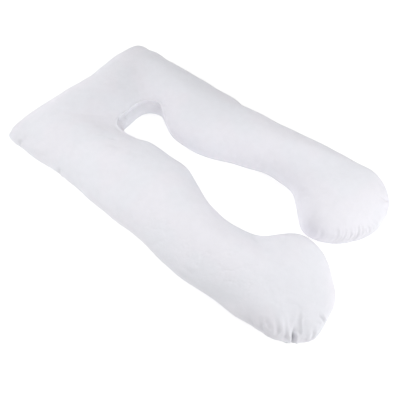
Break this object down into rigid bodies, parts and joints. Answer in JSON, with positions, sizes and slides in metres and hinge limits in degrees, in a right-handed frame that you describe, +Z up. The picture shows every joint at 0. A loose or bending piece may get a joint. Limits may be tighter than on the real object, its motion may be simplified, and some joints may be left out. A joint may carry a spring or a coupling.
{
  "type": "u-shaped body pillow",
  "caption": "U-shaped body pillow of plain white cotton, softly filled: it lies round a sleeper, with a neck hole, a belly gap and plump feet for the knees.",
  "frame": {"origin": "bottom centre of the bounding box, on the surface that the pillow lies on", "axes": "+X across both legs, +Y from the feet to the head end, +Z up"},
  "size_m": [0.8, 1.4, 0.18],
  "materials": {
    "white_cotton": "matt plain-woven cotton, softly wrinkled"
  },
  "bodies": {
    "root": {"body_pillow": "white_cotton"}
  },
  "joints": []
}
